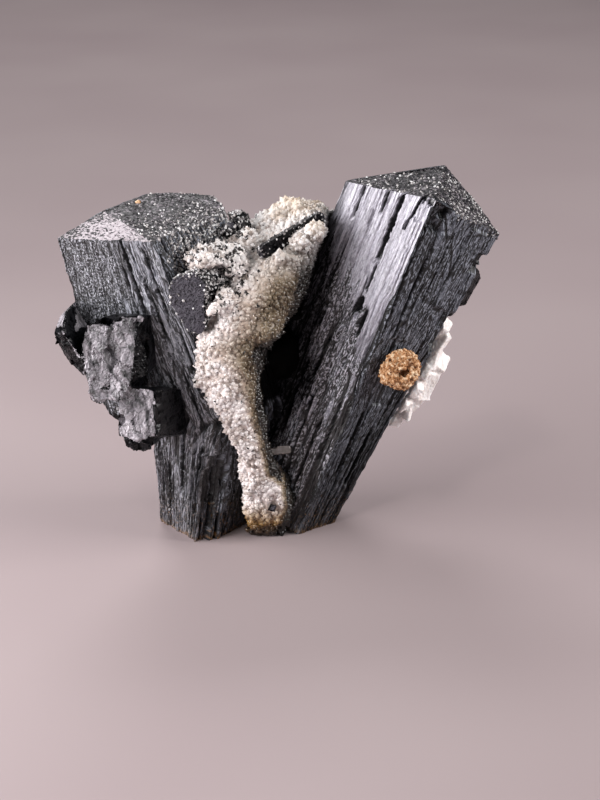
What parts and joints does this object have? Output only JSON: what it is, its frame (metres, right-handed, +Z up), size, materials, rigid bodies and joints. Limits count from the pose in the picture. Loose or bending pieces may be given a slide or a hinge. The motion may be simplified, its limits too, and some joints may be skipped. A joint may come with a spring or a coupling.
{
  "type": "ilvaite crystal specimen",
  "caption": "Mineral specimen: thick black striated ilvaite prisms in a V, joined by a crust of small quartz crystals, standing on its cut-flat foot.",
  "frame": {"origin": "middle of the specimen's bounding box, on the plane that it rests on", "axes": "+Z up, +X to the right along the spread of the V, +Y from the pictured front to the back"},
  "size_m": [0.0795, 0.0371, 0.0681],
  "materials": {
    "ilvaite": "striated, semi-gloss black",
    "broken_ilvaite": "rough fracture, grey to black",
    "clear_quartz": "glossy, greyish clear",
    "quartz": "sparkling fine crystals, clear to cream",
    "brown_grains": "granular, matt",
    "calcite": "blocky, white, satin"
  },
  "bodies": {
    "root": {"left_crystal": "ilvaite", "right_crystal": "ilvaite", "side_cluster": "broken_ilvaite", "middle_crystal": "ilvaite", "top_knob": "ilvaite", "blade_crystal": "ilvaite", "back_crystal": "ilvaite", "foot_crystal": "ilvaite", "bridge_crystal": "clear_quartz", "quartz_druse": "quartz", "brown_ball": "brown_grains", "white_crust": "calcite"}
  },
  "joints": []
}
